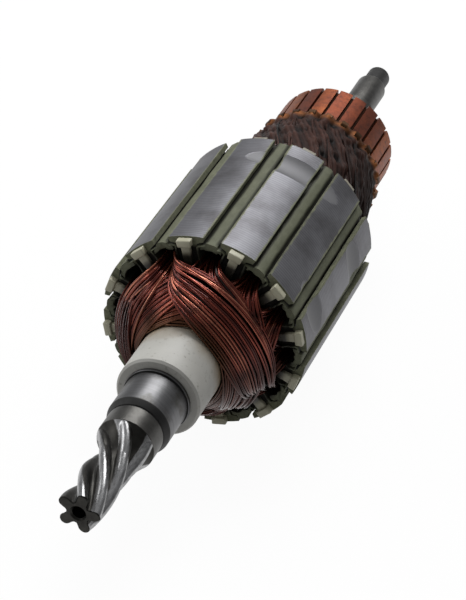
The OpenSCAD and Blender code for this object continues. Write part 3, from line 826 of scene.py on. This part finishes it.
def cream_moulding():
    material, node, place = start_finish("cream_moulding")
    cloud = node("TexNoise", Vector=place, Scale=380, Detail=4)
    tone = node("Mix", cloud, "#a9a68e", "#c2bfa8")
    dirt = node("TexNoise", Vector=place, Scale=900, Detail=5, Roughness=0.7)
    x, r, a = round_the_shaft(node, place)
    low = node("MapRange", r, 0.0232, 0.0205)
    dirty = node("Math", low, dirt, operation="MULTIPLY")
    grime_and_shade = node("Mix", dirty, tone, "#4a3c28")
    # Between the coils, below r = 21.7 mm, the arms are darkened almost to black, partly varnish and partly
    # painted shade
    soaked = node("MapRange", r, 0.0217, 0.0204, 0, 0.93)
    grime_and_shade = node("Mix", soaked, grime_and_shade, "#15110c")
    # The commutator end was dipped in varnish with its coils
    dipped = node("MapRange", x, 0.060, 0.070, 0, 0.7)
    grime_and_shade = node("Mix", dipped, grime_and_shade, "#7c746a")
    rough = node("MapRange", cloud, 0, 1, 0.35, 0.55)
    return coat(material, grime_and_shade, dirt, 0.15, 0.08, Roughness=rough, IOR=1.5)


cream_finish = cream_moulding()

# %% Shape of the end insulators
# A block's six faces: its two plans and its four sides
block_faces = [(0, 1, 2, 3), (7, 6, 5, 4), (0, 4, 5, 1), (1, 5, 6, 2), (2, 6, 7, 3), (3, 7, 4, 0)]
clear_of_core, plate_thick, plate_sides = 0.05, 1.25, 72


def block(half_in, half_out, r_in, r_out, height):
    """The corners of a block on the core's face, wider or narrower at its outer radius: height, offset
    from the tooth's middle and radius."""
    plan = np.array([(-half_in, r_in), (half_in, r_in), (half_out, r_out), (-half_out, r_out)])
    return np.repeat([clear_of_core, height], 4), *np.tile(plan, (2, 1)).T


def end_insulator(name, face, outwards, node, head_r):
    """The moulding at one end: an arm and a head on every tooth, and a plate round the sleeve."""
    arm = block(0.95, 1.1, 13.5, 23.4, plate_thick)
    head = block(1.6, 1.8, 22.9, head_r, 1.95)
    blocks = []
    for i in range(slots):
        for height, t, r in (arm, head):
            angle = np.radians(slot_step * (i + 0.5)) + np.arctan2(t, r)
            blocks.append(lay_round(face + outwards * height, np.hypot(t, r), angle))
    low, high = face + outwards * clear_of_core, face + outwards * plate_thick
    plate = turn_profile(np.array([(low, 10.1), (low, 14.4), (high, 14.4), (high, 10.1)]), plate_sides)
    corners = len(blocks[0])
    quads = np.concatenate([copies(block_faces, len(blocks), corners),
                            grid_faces(4, plate_sides, True, True) + corners * len(blocks)])
    piece = make_piece(name, np.concatenate([*blocks, plate.reshape(-1, 3)]), quads, cream_finish,
                       sharp=0, replaces=(node,))
    bevel = piece.modifiers.new("rounded_edges", "BEVEL")
    bevel.width = 0.28 * MM
    bevel.segments = 3
    bevel.limit_method = "ANGLE"
    bevel.angle_limit = math.radians(50)
    bevel.harden_normals = False


end_insulator("insulator_pinion_end", core_x0, -1, "pinion_end_insulator", 24.7)
end_insulator("insulator_commutator_end", core_x1, 1, "commutator_end_insulator", 24.3)

# %% [markdown]
# ## The commutator
# Twenty-four wedges of hard-drawn copper stand round a dark moulded hub. The track is turned, so it
# carries fine rings. Heat and brush dust have left every bar a little different, from brown to
# orange, and one side carries painted light that makes its bars lighter and more orange. The hooks'
# end is dull with solder flux and varnish.

# %% Finish of the commutator


def facing(node, a, degrees):
    """Socket for cos(a + degrees), which is 1 on one side of the part and -1 on the other."""
    return node("Math", node("Math", a, math.radians(degrees), operation="ADD"), operation="COSINE")


def commutator_copper():
    material, node, place = start_finish("commutator_copper")
    x, r, a = round_the_shaft(node, place)
    step = node("Math", a, bars / (2 * math.pi), operation="MULTIPLY")
    index = node("Math", step, operation="FLOOR")
    each = node("TexWhiteNoise", W=index, noise_dimensions="1D")
    rings = node("Mapping", Vector=place, Scale=(2500, 80, 80))
    ring = node("TexNoise", Vector=rings, Scale=1, Detail=4)
    cloud = node("TexNoise", Vector=place, Scale=210, Detail=4, Roughness=0.6)
    heat_and_side_light = node("Math", each, cloud, operation="ADD")
    # Painted light: the bars on one side, round angle -50 degrees, are made lighter and more orange
    heat_and_side_light = node("Math", facing(node, a, 50), 0.3, heat_and_side_light, operation="MULTIPLY_ADD")
    tint_and_side_light = node("MapRange", heat_and_side_light, 0.35, 1.6)
    tone = node("ValToRGB", tint_and_side_light, stops=[
        (0.0, "#562a22"), (0.5, "#7e3e26"), (1.0, "#b86a34")])
    ringed = node("Mix", ring, tone, "#6e3a28")
    blot = node("TexNoise", Vector=place, Scale=520, Detail=6, Roughness=0.75)
    tarnish = node("MapRange", blot, 0.48, 0.66, 0, 0.75)
    ringed = node("Mix", tarnish, ringed, "#42221a")
    hooks = node("MapRange", x, (bars_x0 + 4.2) * MM, (bars_x0 + 1) * MM)
    fluxed = node("Math", hooks, cloud, operation="MULTIPLY")
    dull = node("MapRange", fluxed, 0.0, 0.45)
    flux = node("Mix", dull, ringed, "#47301d")
    rough = node("MapRange", cloud, 0, 1, 0.36, 0.6)
    return coat(material, flux, ring, 0.25, 0.05, Metallic=0.9, Roughness=rough)


def dark_moulding():
    material, node, place = start_finish("dark_phenolic_moulding")
    cloud = node("TexNoise", Vector=place, Scale=500, Detail=4)
    tone = node("Mix", cloud, "#26150d", "#452818")
    return coat(material, tone, cloud, 0.2, 0.06, Roughness=0.8, Specular_IOR_Level=0.1)


dress("commutator_bars", commutator_copper())
dress("commutator_hub", dark_moulding())
dress("commutator_bush", ground_finish)

# %% [markdown]
# ## The leads
# From every slot two leads run to the hooks, drawn here with three strands each. They lie close on
# the coils and were dipped in dark varnish with them. Each strand is a tube along a curve that leaves
# the slot, bends over the heap and ends under its hook.

# %% Finish of the leads


def varnished_leads():
    material, node, place = start_finish("varnished_leads")
    cloud = node("TexNoise", Vector=place, Scale=300, Detail=5, Roughness=0.65)
    ridge = node("Attribute", attribute_name="ridge", out="Fac")
    # Painted light: the ridges of the strands are made lighter and the hollows between them near black
    height = node("Math", cloud, 0.7, ridge, operation="MULTIPLY_ADD")
    wear_and_highlight = node("MapRange", height, 0.55, 1.35)
    tone = node("Mix", wear_and_highlight, "#060302", "#4a3029")
    # Painted shade: the side of the coil end towards -y, away from both lamps, is darkened to near black
    x, r, a = round_the_shaft(node, place)
    thick = node("MapRange", facing(node, a, 95), 0.4, 0.95, 0, 0.8)
    tone = node("Mix", thick, tone, "#0b0605")
    # Solder and flux make the lumps round the hooks brown, strongest on the lumps' tops as a painted
    # highlight
    near = node("MapRange", x, (bars_x0 - 1) * MM, (bars_x0 + 0.6) * MM)
    fluxed = node("Math", near, height, operation="MULTIPLY")
    tone = node("Mix", fluxed, tone, "#7a4a28")
    metal = node("Math", near, 0.6, operation="MULTIPLY")
    rough = node("MapRange", cloud, 0, 1, 0.4, 0.7)
    return coat(material, tone, cloud, 0.5, 0.1, Roughness=rough, Metallic=metal, Specular_IOR_Level=0.08)


lead_finish = varnished_leads()

# %% Shape of the leads


def lead_paths(steps=26):
    """Cubic curves from the slots to the hooks. The weights of the four corner points are (1 - t)^3,
    3 t (1 - t)^2, 3 t^2 (1 - t) and t^3, applied to station, radius and angle."""
    slot, side, strand = np.meshgrid(np.arange(slots), [-1, 1], [-1, 0, 1], indexing="ij")
    slot, side, strand = slot.ravel(), side.ravel(), strand.ravel()
    start = np.radians(slot_step * slot + 3.2 * side)
    hook = np.radians(slot_step * (slot + 1 + side / 4))
    jitter = rng.normal(0, 0.012, (3, len(slot)))
    x = [core_x1 - 2 + 0 * slot, core_x1 + 6.5 + 0.9 * strand, core_x1 + 16 + 60 * jitter[0],
         bars_x0 + 0.9 + 0 * slot]
    r = [21.2 + 0 * slot, 21.2 + 0.3 * strand, 17.9 + 30 * jitter[1], 15.95 + 0 * slot]
    a = [start, start + 0.03 * strand, 0.45 * start + 0.55 * hook + 2 * jitter[2], hook + 0.016 * strand]
    t = np.linspace(0, 1, steps)
    weights = np.stack([(1 - t) ** 3, 3 * t * (1 - t) ** 2, 3 * t ** 2 * (1 - t), t ** 3])
    return lay_round(*(np.einsum("ck,cs->ks", np.stack(corner), weights) for corner in (x, r, a)))


def varnish_wrap(around=384, steps=72):
    """The varnish that fills the leads together: a closed sleeve, and the height of its ridges for the
    finish. Its outer radius is the leads' own along the shaft, plus ridges 0.35 |sin(36 b)| + 0.5
    |sin(12 b + 0.4)|^0.7 at angle b less the leads' turn, plus a lump round each hook, plus smooth
    noise."""
    t = np.linspace(0, 1, steps)[:, None]
    x0, x1 = core_x1 + 2.6, bars_x0 + 2.9
    x = x0 + (x1 - x0) * t
    r = np.interp(t, [0, 0.1, 0.3, 0.6, 0.8, 0.88, 0.97, 1],
                  [16.8, 18.8, 18.7, 17.4, 16.2, 16.1, 16.1, 15.5])
    angle = np.arange(around) * 2 * np.pi / around
    follow = angle - 0.85 * t ** 1.2
    ridges = 0.35 * np.abs(np.sin(36 * follow)) + 0.5 * np.abs(np.sin(12 * follow + 0.4)) ** 0.7
    near_hooks = np.clip((t - 0.78) / 0.08, 0, 1)
    hooks = 0.9 * np.cos(bars / 2 * (angle - np.radians(slot_step / 4))) ** 2
    # The noise is blended with itself from the far side where the last column meets the first
    coarse = smooth_noise((steps, around + 1), (14, 64), 0.3)[:, :-1]
    fade = np.clip(np.arange(around) / 24, 0, 1)
    coarse = coarse * fade + np.roll(coarse, around // 2, 1) * (1 - fade)
    lift = ridges * (1 - near_hooks) + hooks * near_hooks
    shell = lay_round(x, r + lift + coarse, angle)
    inner = lay_round(x, np.minimum(r - 1.2, 14.9), angle)[::-1]
    return np.concatenate([shell, inner]), np.concatenate([lift + 0.5 * coarse, np.zeros_like(lift)])


wrap, lift = varnish_wrap()
rows, columns = wrap.shape[:2]
wrapped = make_piece("leads_varnish_wrap", wrap, grid_faces(rows, columns, True, True), lead_finish,
                     sharp=0)
store(wrapped, "ridge", lift)
lead_sides = 7
points, quads = tubes(lead_paths(), wire_r, lead_sides, False)
count, rows, columns = points.shape[:3]
ends = copies(end_caps(rows, columns), count, rows * columns)
leads = make_piece("leads_varnished", points, quads, lead_finish, caps=ends, sharp=0,
                   replaces=("coil_leads",))
store(leads, "ridge", np.repeat(np.clip(rng.normal(0.6, 0.25, count), 0, 1), rows * columns))

# %% [markdown]
# ## Floor, light and backdrop
# The armature lies on its side on a plain white table. The floor shows as white to the camera and
# in reflections, and keeps a soft trace of the shadow. The light is a pale room, with one wide lamp
# above and behind the armature and a weaker one at its left.

# %% Floor and backdrop


def white_table():
    material, node, place = start_finish("white_table")
    grain = node("TexNoise", Vector=place, Scale=30, Detail=2)
    tone = node("Mix", grain, "#b6b6b6", "#bababa")
    set_shader(material, Base_Color=tone, Roughness=0.9, Specular_IOR_Level=0.0)
    # Camera, glossy and transmitted rays see a white glow, with a tenth of the table's shaded colour
    path = node("LightPath").node.outputs
    seen = node("Math", path["Is Camera Ray"], path["Is Glossy Ray"], operation="MAXIMUM")
    seen = node("Math", seen, path["Is Transmission Ray"], operation="MAXIMUM")
    share = node("Math", seen, 0.9, operation="MULTIPLY")
    glow = node("Emission", Color="#ffffff", Strength=1.06)
    nodes = material.node_tree.nodes
    both = node("MixShader", share, nodes["Principled BSDF"].outputs[0], glow)
    material.node_tree.links.new(both, nodes["Material Output"].inputs["Surface"])
    return material


floor_z, half_floor = -24.92 * MM, 3000 * MM
corners = [(half_floor * i, half_floor * j, floor_z) for i, j in ((-1, -1), (1, -1), (1, 1), (-1, 1))]
floor_mesh = bpy.data.meshes.new("floor")
floor_mesh.from_pydata(corners, [], [(0, 1, 2, 3)])
floor_mesh.materials.append(white_table())
floor = bpy.data.objects.new("floor", floor_mesh)
bpy.context.scene.collection.objects.link(floor)

world = bpy.data.worlds.new("pale_room")
bpy.context.scene.world = world
world.use_nodes = True
room = world.node_tree
node = functools.partial(add, room)
backdrop = node("Background", Color="#ffffff", Strength=1.0)
ambient = room.nodes["Background"]
ambient.inputs["Color"].default_value = (0.98, 0.99, 1.0, 1)
# The room is lighter behind the armature, at its left and above: light grows with direction . toward
toward = (0.55, 0.6, 0.58)
direction = node("TexCoord", out="Generated")
along = node("VectorMath", direction, toward, operation="DOT_PRODUCT")
level = node("MapRange", along, -1, 1, 0.1, 0.42)
room.links.new(level, ambient.inputs["Strength"])
camera_ray = node("LightPath", out="Is Camera Ray")
seen = node("MixShader", camera_ray, ambient.outputs[0], backdrop)
room.links.new(seen, room.nodes["World Output"].inputs["Surface"])

# %% Lamps


def wide_lamp(name, place, target, size, power, colour="#ffffff"):
    """A square soft box at place, aimed at target, in millimetres."""
    lamp = bpy.data.lights.new(name, "AREA")
    lamp.shape = "SQUARE"
    lamp.size = size * MM
    lamp.energy = power
    lamp.color = shade(colour)[:3]
    print(name, size, "mm wide,", power, "W")
    holder = bpy.data.objects.new(name, lamp)
    bpy.context.scene.collection.objects.link(holder)
    aim = (Vector(target) - Vector(place)).to_track_quat("-Z", "Y")
    holder.matrix_world = Matrix.Translation(Vector(place) * MM) @ aim.to_matrix().to_4x4()


wide_lamp("lamp_above", (720, 90, 850), (60, 0, 0), 620, 8.5)
wide_lamp("lamp_left", (-60, 700, 420), (40, 0, 0), 400, 1.6)
